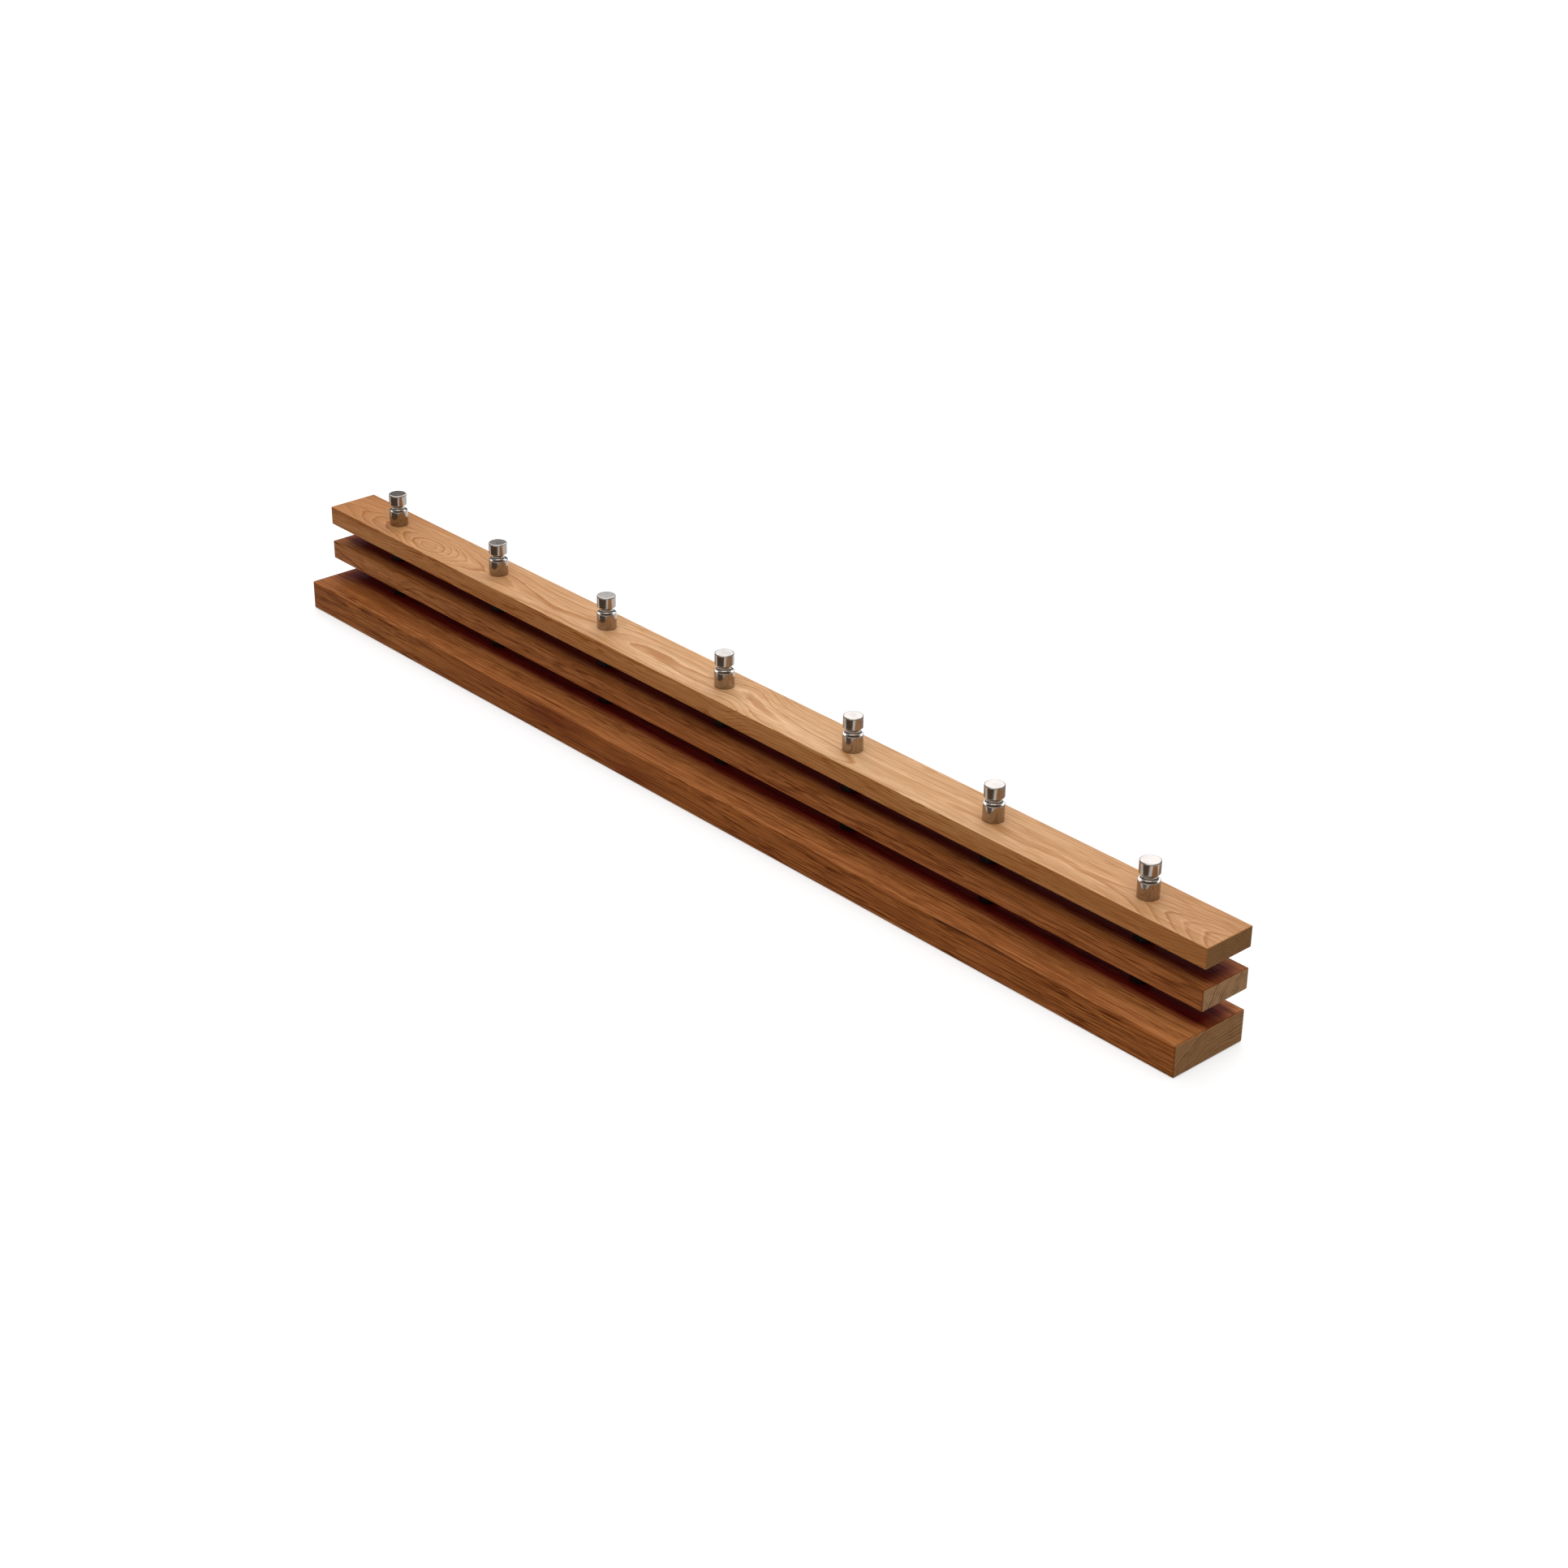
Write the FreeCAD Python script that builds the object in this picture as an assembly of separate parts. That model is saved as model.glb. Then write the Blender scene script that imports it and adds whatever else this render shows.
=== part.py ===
"""Wall coat rack: three wooden slats clamped into one stack by bolts that hold a row of turned knobs.

The rack lies on its back. X runs along the slats, Z points away from the wall, and the origin is the
middle of the back slat's back face. On a wall the +Y edge is up.
"""
import FreeCAD, Part
import math
import os

# All sizes are in millimetres.

# Whole rack
rack_length = 1000.0
slat_gap = 16.0

# Front and middle slats, planed from the same stock
slat_width = 45.0
slat_thickness = 16.0
slat_edge_radius = 0.5

# Back slat, wider and thicker, which meets the wall
back_slat_width = 69.0
back_slat_thickness = 25.0
back_slat_edge_radius = 1.0

# Row of knobs along the middle of the front slat
knob_count = 7
knob_end_margin = 71.0

# Turned knob: a base, a round-bottomed groove for the coat's loop, and a slightly narrower flat head
knob_base_diameter = 15.8
knob_base_height = 13.1
knob_foot_radius = 0.5
knob_groove_radius = 2.6
knob_groove_rim_radius = 0.5
knob_head_diameter = 15.2
knob_head_height = 9.5
knob_top_radius = 1.0

# Through bolt with a socket head, one behind each knob
bolt_diameter = 6.0
bolt_head_diameter = 10.0
bolt_head_height = 6.0
bolt_head_chamfer = 0.5
bolt_head_recess = 1.0
bolt_socket_width = 5.0
bolt_socket_depth = 3.0
bolt_tip_chamfer = 0.7
bolt_clearance = 0.3
thread_engagement = 8.0
thread_clearance = 0.05
drill_run_out = 2.0
drill_point_angle = 118.0

# Washer under each bolt head
washer_thickness = 1.6
washer_overhang = 1.0
washer_bore_clearance = 0.2
counterbore_clearance = 0.5

# Round spacers between the slats
spacer_diameter = 16.0
spacer_chamfer = 0.4

# Keyhole plate let into the back face
plate_thickness = 2.0
plate_side_land = 4.0
plate_screw_land = 2.0
plate_clearance = 0.2
keyhole_entry_diameter = 10.0
keyhole_slot_width = 5.0
keyhole_travel = 9.0
head_pocket_clearance = 1.0
head_pocket_depth = 8.0

# Countersunk screws that hold the keyhole plates
plate_screw_diameter = 3.0
plate_screw_head_diameter = 6.0
plate_screw_length = 14.0
plate_screw_clearance = 0.05
screw_cross_width = 0.7
screw_cross_span = 2.8
screw_cross_depth = 1.2

# How far every cutting tool runs past the face that it cuts
cut_overrun = 1.0

# Two arcs closer than this meet with no straight stretch between them
meeting_gap = 0.000001

# Places that follow from the sizes
z_axis = FreeCAD.Vector(0, 0, 1)
origin = FreeCAD.Vector(0, 0, 0)

back_edge_y = back_slat_width / 2
slat_middle_y = back_edge_y - slat_width / 2
middle_slat_z = back_slat_thickness + slat_gap
front_slat_z = middle_slat_z + slat_thickness + slat_gap
front_face_z = front_slat_z + slat_thickness

knob_pitch = (rack_length - 2 * knob_end_margin) / (knob_count - 1)
knob_places = [knob_pitch * (place - (knob_count - 1) / 2) for place in range(knob_count)]

bolt_radius = bolt_diameter / 2
bolt_hole_radius = bolt_radius + bolt_clearance
bolt_seat_z = bolt_head_recess + bolt_head_height
bolt_end_z = front_face_z + thread_engagement
washer_radius = bolt_head_diameter / 2 + washer_overhang
counterbore_radius = washer_radius + counterbore_clearance
counterbore_depth = bolt_seat_z + washer_thickness

keyhole_x = knob_pitch * (knob_count - 2) / 2
keyhole_places = {"left": -keyhole_x, "right": keyhole_x}
keyhole_entry_radius = keyhole_entry_diameter / 2
keyhole_entry_y = -keyhole_travel / 2
keyhole_end_y = keyhole_travel / 2
plate_width = keyhole_entry_diameter + 2 * plate_side_land
plate_screw_radius = plate_screw_diameter / 2
plate_screw_head_radius = plate_screw_head_diameter / 2
lower_screw_y = keyhole_entry_y - keyhole_entry_radius - plate_screw_land - plate_screw_head_radius
upper_screw_y = keyhole_end_y + keyhole_slot_width / 2 + plate_screw_land + plate_screw_head_radius
plate_screw_places = [lower_screw_y, upper_screw_y]


def rounded_face(corners):
    """Make a flat upright face from corners given as (radius, height, rounding radius)."""
    points = [FreeCAD.Vector(radius, 0, height) for radius, height, rounding in corners]
    spans = []
    for index, (radius, height, rounding) in enumerate(corners):
        corner = points[index]
        if rounding <= 0:
            spans.append((corner, corner, None))
            continue
        towards_last = (points[index - 1] - corner).normalize()
        towards_next = (points[(index + 1) % len(points)] - corner).normalize()
        half_angle = towards_last.getAngle(towards_next) / 2
        inwards = (towards_last + towards_next).normalize()
        reach = rounding / math.tan(half_angle)
        middle = corner + inwards * (rounding / math.sin(half_angle) - rounding)
        spans.append((corner + towards_last * reach, corner + towards_next * reach, middle))
    edges = []
    for index, (start, end, middle) in enumerate(spans):
        if middle is not None:
            edges.append(Part.Arc(start, middle, end).toShape())
        following = spans[(index + 1) % len(spans)][0]
        if end.distanceToPoint(following) > meeting_gap:
            edges.append(Part.LineSegment(end, following).toShape())
    return Part.Face(Part.Wire(edges))


def turned(corners):
    """Turn an outline of (radius, height, rounding radius) corners about Z."""
    return rounded_face(corners).revolve(origin, z_axis, 360)


def cylinder(radius, low_z, high_z):
    """Make an upright cylinder on the Z axis."""
    return Part.makeCylinder(radius, high_z - low_z, FreeCAD.Vector(0, 0, low_z))


def obround(width, low_y, high_y, low_z, high_z):
    """Make an upright prism with round ends centred on low_y and high_y."""
    radius = width / 2
    low_left = FreeCAD.Vector(-radius, low_y, low_z)
    low_right = FreeCAD.Vector(radius, low_y, low_z)
    high_left = FreeCAD.Vector(-radius, high_y, low_z)
    high_right = FreeCAD.Vector(radius, high_y, low_z)
    low_tip = FreeCAD.Vector(0, low_y - radius, low_z)
    high_tip = FreeCAD.Vector(0, high_y + radius, low_z)
    outline = Part.Wire([
        Part.Arc(low_left, low_tip, low_right).toShape(),
        Part.LineSegment(low_right, high_right).toShape(),
        Part.Arc(high_right, high_tip, high_left).toShape(),
        Part.LineSegment(high_left, low_left).toShape(),
    ])
    return Part.Face(outline).extrude(z_axis * (high_z - low_z))


def moved(shape, x, y, z=0):
    """Return a copy of a shape moved to a place."""
    copy = shape.copy()
    copy.translate(FreeCAD.Vector(x, y, z))
    return copy


def board(width, thickness, middle_y, low_z, edge_radius):
    """Make one slat with all its edges lightly eased."""
    low_corner = FreeCAD.Vector(-rack_length / 2, middle_y - width / 2, low_z)
    blank = Part.makeBox(rack_length, width, thickness, low_corner)
    return blank.makeFillet(edge_radius, blank.Edges)


def bolt_holes(low_z, high_z):
    """Make the drills for the bolts' clearance holes through one slat."""
    drill = cylinder(bolt_hole_radius, low_z - cut_overrun, high_z + cut_overrun)
    return [moved(drill, x, slat_middle_y) for x in knob_places]


def drilled_slat(low_z):
    """Make a front or middle slat with its row of bolt holes."""
    blank = board(slat_width, slat_thickness, slat_middle_y, low_z, slat_edge_radius)
    return blank.cut(bolt_holes(low_z, low_z + slat_thickness))


def plate_screw():
    """Make one countersunk screw with the cross in its head that a driver turns."""
    reach = cut_overrun + screw_cross_depth
    low_corner = FreeCAD.Vector(-screw_cross_width / 2, -screw_cross_span / 2, -cut_overrun)
    arm = Part.makeBox(screw_cross_width, screw_cross_span, reach, low_corner)
    crossing_corner = FreeCAD.Vector(-screw_cross_span / 2, -screw_cross_width / 2, -cut_overrun)
    crossing_arm = Part.makeBox(screw_cross_span, screw_cross_width, reach, crossing_corner)
    return screw_body(0).cut([arm, crossing_arm])


def screw_body(clearance):
    """Make a countersunk screw's outer form, or the space it needs, pointing along +Z from the back face."""
    head_radius = plate_screw_head_radius + clearance
    shank_radius = plate_screw_radius + clearance
    return turned([
        (0, 0, 0),
        (head_radius, 0, 0),
        (shank_radius, head_radius - shank_radius, 0),
        (shank_radius, plate_screw_length + clearance, 0),
        (0, plate_screw_length + clearance, 0),
    ])


def keyhole_plate():
    """Make one steel hanging plate with its keyhole and its two countersunk screw holes."""
    blank = obround(plate_width, lower_screw_y, upper_screw_y, 0, plate_thickness)
    cut_low_z = -cut_overrun
    cut_high_z = plate_thickness + cut_overrun
    entry = moved(cylinder(keyhole_entry_radius, cut_low_z, cut_high_z), 0, keyhole_entry_y)
    slot = obround(keyhole_slot_width, keyhole_entry_y, keyhole_end_y, cut_low_z, cut_high_z)
    screw_spaces = [moved(screw_body(plate_screw_clearance), 0, y) for y in plate_screw_places]
    return blank.cut([entry.fuse(slot)] + screw_spaces)


def keyhole_recess():
    """Make the space cut in the back slat for one plate, its screws and the wall screw's head."""
    seat_width = plate_width + 2 * plate_clearance
    seat = obround(seat_width, lower_screw_y, upper_screw_y, -cut_overrun, plate_thickness)
    pocket_width = keyhole_entry_diameter + 2 * head_pocket_clearance
    pocket_floor_z = plate_thickness + head_pocket_depth
    pocket = obround(pocket_width, keyhole_entry_y, keyhole_end_y, -cut_overrun, pocket_floor_z)
    screw_spaces = [moved(screw_body(plate_screw_clearance), 0, y) for y in plate_screw_places]
    return [seat, pocket] + screw_spaces


def back_slat():
    """Make the back slat with its counterbored bolt holes and its two keyhole recesses."""
    blank = board(back_slat_width, back_slat_thickness, 0, 0, back_slat_edge_radius)
    counterbore = cylinder(counterbore_radius, -cut_overrun, counterbore_depth)
    cuts = bolt_holes(0, back_slat_thickness)
    cuts += [moved(counterbore, x, slat_middle_y) for x in knob_places]
    for x in keyhole_places.values():
        cuts += [moved(cut, x, 0) for cut in keyhole_recess()]
    return blank.cut(cuts)


def knob():
    """Turn one knob, seated at z = 0, with the blind threaded hole in its base shown plain."""
    base_radius = knob_base_diameter / 2
    head_radius = knob_head_diameter / 2
    neck_radius = min(base_radius, head_radius) - knob_groove_rim_radius - knob_groove_radius
    head_low = knob_base_height + 2 * knob_groove_radius
    head_high = head_low + knob_head_height
    hole_radius = bolt_radius + thread_clearance
    hole_depth = thread_engagement + drill_run_out
    drill_point = hole_radius / math.tan(math.radians(drill_point_angle / 2))
    return turned([
        (hole_radius, 0, 0),
        (base_radius, 0, knob_foot_radius),
        (base_radius, knob_base_height, knob_groove_rim_radius),
        (neck_radius, knob_base_height, knob_groove_radius),
        (neck_radius, head_low, knob_groove_radius),
        (head_radius, head_low, knob_groove_rim_radius),
        (head_radius, head_high, knob_top_radius),
        (0, head_high, 0),
        (0, hole_depth + drill_point, 0),
        (hole_radius, hole_depth, 0),
    ])


def through_bolt():
    """Make one socket-head bolt, head at the back and thread end in the knob."""
    head_radius = bolt_head_diameter / 2
    blank = turned([
        (0, bolt_head_recess, 0),
        (head_radius - bolt_head_chamfer, bolt_head_recess, 0),
        (head_radius, bolt_head_recess + bolt_head_chamfer, 0),
        (head_radius, bolt_seat_z, 0),
        (bolt_radius, bolt_seat_z, 0),
        (bolt_radius, bolt_end_z - bolt_tip_chamfer, 0),
        (bolt_radius - bolt_tip_chamfer, bolt_end_z, 0),
        (0, bolt_end_z, 0),
    ])
    sides = 6
    socket_radius = bolt_socket_width / 2 / math.cos(math.pi / sides)
    socket_mouth_z = bolt_head_recess - cut_overrun
    corners = []
    for turn in range(sides + 1):
        angle = 2 * math.pi * turn / sides
        across = socket_radius * math.cos(angle)
        along = socket_radius * math.sin(angle)
        corners.append(FreeCAD.Vector(across, along, socket_mouth_z))
    socket = Part.Face(Part.makePolygon(corners)).extrude(z_axis * (cut_overrun + bolt_socket_depth))
    return blank.cut(socket)


def bolt_washer():
    """Make one flat washer, seated on the floor of a counterbore."""
    bore_radius = bolt_radius + washer_bore_clearance
    disc = cylinder(washer_radius, bolt_seat_z, counterbore_depth)
    return disc.cut(cylinder(bore_radius, bolt_seat_z - cut_overrun, counterbore_depth + cut_overrun))


def spacer():
    """Turn one round spacer with eased rims, standing at z = 0."""
    radius = spacer_diameter / 2
    return turned([
        (bolt_hole_radius, 0, 0),
        (radius - spacer_chamfer, 0, 0),
        (radius, spacer_chamfer, 0),
        (radius, slat_gap - spacer_chamfer, 0),
        (radius - spacer_chamfer, slat_gap, 0),
        (bolt_hole_radius, slat_gap, 0),
    ])


def all_pieces():
    """Make every piece of the rack, in place, under its name."""
    pieces = {
        "front_slat": drilled_slat(front_slat_z),
        "middle_slat": drilled_slat(middle_slat_z),
        "back_slat": back_slat(),
    }
    stack = {
        "knob": moved(knob(), 0, 0, front_face_z),
        "through_bolt": through_bolt(),
        "bolt_washer": bolt_washer(),
        "front_spacer": moved(spacer(), 0, 0, middle_slat_z + slat_thickness),
        "back_spacer": moved(spacer(), 0, 0, back_slat_thickness),
    }
    for name, shape in stack.items():
        for number, x in enumerate(knob_places, start=1):
            pieces[f"{name}_{number}"] = moved(shape, x, slat_middle_y)
    for side, x in keyhole_places.items():
        pieces[f"keyhole_plate_{side}"] = moved(keyhole_plate(), x, 0)
        for level, y in zip(["lower", "upper"], plate_screw_places):
            pieces[f"plate_screw_{side}_{level}"] = moved(plate_screw(), x, y)
    return pieces


os.makedirs("parts", exist_ok=True)
for piece_name, piece in all_pieces().items():
    piece.exportStep(f"parts/{piece_name}.step")
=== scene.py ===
"""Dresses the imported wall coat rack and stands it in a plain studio.

Three oiled hardwood slats, a row of turned steel knobs, the black spacers between the slats and the
hanging hardware let into the back get their finishes here. Lengths are in metres, and a name that ends
in _mm holds millimetres.
"""

import logging
import math
from dataclasses import dataclass
from enum import Enum
from typing import Optional, Union

import bmesh
import bpy
from mathutils import Matrix, Vector

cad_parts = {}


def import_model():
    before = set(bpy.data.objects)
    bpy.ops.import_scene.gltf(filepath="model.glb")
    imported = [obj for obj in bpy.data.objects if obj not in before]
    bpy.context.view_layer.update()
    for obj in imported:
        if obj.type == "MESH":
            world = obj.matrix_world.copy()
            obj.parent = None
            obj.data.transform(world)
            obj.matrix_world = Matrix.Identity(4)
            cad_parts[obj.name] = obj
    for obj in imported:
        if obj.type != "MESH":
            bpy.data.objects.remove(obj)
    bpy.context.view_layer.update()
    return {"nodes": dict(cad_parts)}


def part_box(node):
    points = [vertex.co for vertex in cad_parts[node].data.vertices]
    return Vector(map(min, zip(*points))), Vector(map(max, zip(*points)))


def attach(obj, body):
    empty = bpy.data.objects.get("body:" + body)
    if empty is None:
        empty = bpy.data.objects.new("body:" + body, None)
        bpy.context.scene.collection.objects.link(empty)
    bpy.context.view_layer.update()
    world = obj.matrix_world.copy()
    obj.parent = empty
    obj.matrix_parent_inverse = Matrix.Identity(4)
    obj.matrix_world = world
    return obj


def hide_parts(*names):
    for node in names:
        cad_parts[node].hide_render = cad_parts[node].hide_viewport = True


LOG = logging.getLogger("coat_rack")
MM = 0.001
BODY = "root"

# The rack's own sizes that the finishes and the turned pieces need
HALF_LENGTH_MM = 500.0
KNOB_PITCH_MM = 143.0
KNOB_LINE_Y_MM = 12.0
KNOB_COUNT = 7

# Meshes
QUARTER_TURN = math.pi / 2
SHARP_ANGLE = math.radians(32)
NEVER_SHARP = math.pi
MERGE_GAP = 1e-7
UNIT_HALF = 0.5

Socket = bpy.types.NodeSocket
Colour = tuple[float, float, float]
Place = tuple[float, float, float]
Range = tuple[float, float]
Feed = Union[float, Socket]
Paint = Union[Colour, Socket]

WHITE = (1.0, 1.0, 1.0, 1.0)


class Slat(Enum):
    """The three boards, by the name of their CAD node."""

    FRONT = "front_slat"
    MIDDLE = "middle_slat"
    BACK = "back_slat"


class Gap(Enum):
    """The two gaps between the boards, by the first word of their spacers' names."""

    FRONT = "front"
    BACK = "back"


class Hardware(Enum):
    """The kinds of hidden hardware, by the start of their CAD nodes' names."""

    BOLT = "through_bolt"
    WASHER = "bolt_washer"
    PLATE = "keyhole_plate"
    SCREW = "plate_screw"


class Operation(Enum):
    """The sums that the finishes are worked out with."""

    ADD = "ADD"
    SUBTRACT = "SUBTRACT"
    MULTIPLY = "MULTIPLY"
    DIVIDE = "DIVIDE"
    ROUND = "ROUND"
    FLOOR = "FLOOR"
    FRACTION = "FRACT"
    ROOT = "SQRT"
    EXPONENT = "EXPONENT"
    ABSOLUTE = "ABSOLUTE"
    GREATER = "MAXIMUM"


class Blend(Enum):
    """The ways in which two colours are put together."""

    MIX = "MIX"
    MULTIPLY = "MULTIPLY"


class NodeSheet:
    """A node tree, with one short call for each kind of node that the finishes and the sky use."""

    def __init__(self, tree: bpy.types.NodeTree) -> None:
        """Take a tree to work in.

        Args:
            tree: The node tree.
        """
        self.tree = tree

    def feed(self, socket: Socket, value: Feed) -> None:
        """Link a socket to another, or set its constant.

        Args:
            socket: The input to fill.
            value: The output that drives it, or its fixed value.
        """
        if isinstance(value, Socket):
            self.tree.links.new(value, socket)
        else:
            socket.default_value = value

    def sum(self, operation: Operation, first: Feed, second: Feed = 0.0) -> Socket:
        """Work out one sum.

        Args:
            operation: What to do with the values.
            first: The first value.
            second: The second value, where the operation has one.

        Returns:
            The output that holds the result.
        """
        node = self.tree.nodes.new("ShaderNodeMath")
        node.operation = operation.value
        self.feed(node.inputs[0], first)
        self.feed(node.inputs[1], second)
        return node.outputs[0]

    def times(self, first: Feed, second: Feed) -> Socket:
        """Multiply two values."""
        return self.sum(Operation.MULTIPLY, first, second)

    def plus(self, first: Feed, second: Feed) -> Socket:
        """Add two values."""
        return self.sum(Operation.ADD, first, second)

    def minus(self, first: Feed, second: Feed) -> Socket:
        """Take the second value from the first."""
        return self.sum(Operation.SUBTRACT, first, second)

    def squared(self, value: Feed) -> Socket:
        """Square a value."""
        return self.sum(Operation.MULTIPLY, value, value)

    def step(self, value: Feed, low: float, high: float) -> Socket:
        """Rise smoothly from 0 at low to 1 at high.

        Args:
            value: The value to judge.
            low: Where the rise starts.
            high: Where it ends.

        Returns:
            The output that holds the smooth step.
        """
        node = self.tree.nodes.new("ShaderNodeMapRange")
        node.interpolation_type = "SMOOTHSTEP"
        self.feed(node.inputs["Value"], value)
        node.inputs["From Min"].default_value = low
        node.inputs["From Max"].default_value = high
        return node.outputs[0]

    def spread(self, value: Feed, low: float, high: float) -> Socket:
        """Map 0 to 1 onto low to high.

        Args:
            value: A value from 0 to 1.
            low: The result at 0.
            high: The result at 1.

        Returns:
            The output that holds the mapped value.
        """
        node = self.tree.nodes.new("ShaderNodeMapRange")
        self.feed(node.inputs["Value"], value)
        node.inputs["To Min"].default_value = low
        node.inputs["To Max"].default_value = high
        return node.outputs[0]

    def place_mm(self) -> Socket:
        """Give the point being shaded, in the rack's frame, in millimetres."""
        coordinates = self.tree.nodes.new("ShaderNodeTexCoord")
        return self.mapped(coordinates.outputs["Object"], (1 / MM, 1 / MM, 1 / MM))

    def mapped(self, place: Socket, scale: Place, shift: Place = (0, 0, 0)) -> Socket:
        """Scale and shift a place.

        Args:
            place: The place to map.
            scale: The factor along each axis.
            shift: What is added after scaling.

        Returns:
            The output that holds the mapped place.
        """
        node = self.tree.nodes.new("ShaderNodeMapping")
        self.feed(node.inputs["Vector"], place)
        node.inputs["Scale"].default_value = scale
        node.inputs["Location"].default_value = shift
        return node.outputs[0]

    def split(self, place: Socket) -> list[Socket]:
        """Split a place into its x, y and z."""
        node = self.tree.nodes.new("ShaderNodeSeparateXYZ")
        self.feed(node.inputs[0], place)
        return list(node.outputs)

    def facing(self) -> list[Socket]:
        """Give the x, y and z of the way that the surface faces, before bump."""
        node = self.tree.nodes.new("ShaderNodeNewGeometry")
        return self.split(node.outputs["Normal"])

    def noise(self, place: Socket, detail: float = 2.0, rough: float = 0.5) -> Socket:
        """Give smooth noise of about 0 to 1, one lump to each unit.

        Args:
            place: The mapped place.
            detail: How many finer layers are added.
            rough: How strong those layers are.

        Returns:
            The output that holds the noise.
        """
        node = self.tree.nodes.new("ShaderNodeTexNoise")
        self.feed(node.inputs["Vector"], place)
        node.inputs["Scale"].default_value = 1.0
        node.inputs["Detail"].default_value = detail
        node.inputs["Roughness"].default_value = rough
        return node.outputs[0]

    def line_noise(self, value: Feed, detail: float = 1.0) -> Socket:
        """Give smooth noise along one value.

        Args:
            value: The value to follow.
            detail: How many finer layers are added.

        Returns:
            The output that holds the noise.
        """
        node = self.tree.nodes.new("ShaderNodeTexNoise")
        node.noise_dimensions = "1D"
        self.feed(node.inputs["W"], value)
        node.inputs["Scale"].default_value = 1.0
        node.inputs["Detail"].default_value = detail
        return node.outputs[0]

    def chance(self, value: Feed) -> Socket:
        """Give a fixed random number from 0 to 1 for each whole value."""
        node = self.tree.nodes.new("ShaderNodeTexWhiteNoise")
        node.noise_dimensions = "1D"
        self.feed(node.inputs["W"], value)
        return node.outputs["Value"]

    def blend(self, share: Feed, first: Paint, second: Paint, kind: Blend = Blend.MIX) -> Socket:
        """Blend two colours.

        Args:
            share: How much of the second colour to take.
            first: The first colour.
            second: The second colour.
            kind: How they are blended.

        Returns:
            The output that holds the blended colour.
        """
        node = self.tree.nodes.new("ShaderNodeMix")
        node.data_type = "RGBA"
        node.blend_type = kind.value
        self.feed(node.inputs["Factor"], share)
        for name, colour in (("A", first), ("B", second)):
            socket = next(entry for entry in node.inputs if entry.name == name and entry.type == "RGBA")
            self.feed(socket, colour if isinstance(colour, Socket) else (*colour, 1.0))
        return next(entry for entry in node.outputs if entry.type == "RGBA")

    def tinted(self, share: Feed, colour: Socket, tint: Paint) -> Socket:
        """Multiply a colour by a tint.

        Args:
            share: How much of the tint to take.
            colour: The colour.
            tint: What it is multiplied by.

        Returns:
            The output that holds the tinted colour.
        """
        return self.blend(share, colour, tint, Blend.MULTIPLY)

    def swell(self, place: Socket, centre_mm: Place, half_mm: Place) -> Socket:
        """Give 1 at a centre, falling away softly in an oval.

        Args:
            place: The place in millimetres.
            centre_mm: The oval's centre.
            half_mm: How far out the value falls to about a third, along each axis.

        Returns:
            The output that holds the value.
        """
        scale = tuple(1 / half for half in half_mm)
        shift = tuple(-middle / half for middle, half in zip(centre_mm, half_mm))
        local = self.mapped(place, scale, shift)
        node = self.tree.nodes.new("ShaderNodeVectorMath")
        node.operation = "DOT_PRODUCT"
        self.feed(node.inputs[0], local)
        self.feed(node.inputs[1], local)
        return self.sum(Operation.EXPONENT, self.times(node.outputs["Value"], -1.0))

    def grey(self, value: Feed) -> Socket:
        """Turn a value into a grey colour."""
        node = self.tree.nodes.new("ShaderNodeCombineColor")
        for socket in node.inputs:
            self.feed(socket, value)
        return node.outputs[0]

    def seen(self) -> Socket:
        """Give 1 for rays from the camera and for reflections, and 0 for scattered light."""
        path = self.tree.nodes.new("ShaderNodeLightPath")
        share = self.sum(Operation.GREATER, path.outputs["Is Camera Ray"], path.outputs["Is Glossy Ray"])
        return self.sum(Operation.GREATER, share, path.outputs["Is Transmission Ray"])


class FinishSheet(NodeSheet):
    """A material's node tree, with the shader that it ends in."""

    def __init__(self, name: str) -> None:
        """Start a material that holds only its shader.

        Args:
            name: The material's name.
        """
        self.material = bpy.data.materials.new(name)
        self.material.use_nodes = True
        super().__init__(self.material.node_tree)
        self.shader = self.tree.nodes["Principled BSDF"]

    def matt(self) -> None:
        """Take all shine from the shader."""
        self.shader.inputs["Roughness"].default_value = 1.0
        self.shader.inputs["Specular IOR Level"].default_value = 0.0

    def bump(self, height: Socket, depth: float, strength: float) -> None:
        """Raise the shader's surface by a height.

        Args:
            height: The height, as a share of depth.
            depth: The depth of the relief in metres.
            strength: How much of the relief shows.
        """
        node = self.tree.nodes.new("ShaderNodeBump")
        node.inputs["Strength"].default_value = strength
        node.inputs["Distance"].default_value = depth
        self.feed(node.inputs["Height"], height)
        self.feed(self.shader.inputs["Normal"], node.outputs["Normal"])


@dataclass(frozen=True)
class Grain:
    """A noise drawn out along the board, sized by its lumps along and across the grain."""

    run_mm: float
    across_mm: float
    detail: float = 2.0
    rough: float = 0.5

    def show(self, sheet: NodeSheet, place: Socket, seed: Place) -> Socket:
        """Give the noise at a place.

        Args:
            sheet: The node tree to work in.
            place: The place in millimetres.
            seed: Where in the noise the board lies.

        Returns:
            The output that holds the noise.
        """
        across = 1 / self.across_mm
        mapped = sheet.mapped(place, (1 / self.run_mm, across, across), seed)
        return sheet.noise(mapped, self.detail, self.rough)


# How the growth rings bend, and how strongly they show
DRIFT_GRAIN = Grain(420.0, 70.0)
WAVE_GRAIN = Grain(120.0, 26.0)
RIPPLE_GRAIN = Grain(24.0, 5.0)
FEATHER_GRAIN = Grain(28.0, 1.3)
FIGURE_GRAIN = Grain(150.0, 20.0)
FIGURE_RANGE: Range = (0.3, 1.1)
EYE_REACH = 1.5
EYE_STRENGTH = 0.3
RING_UNEVENNESS = 0.37

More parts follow.
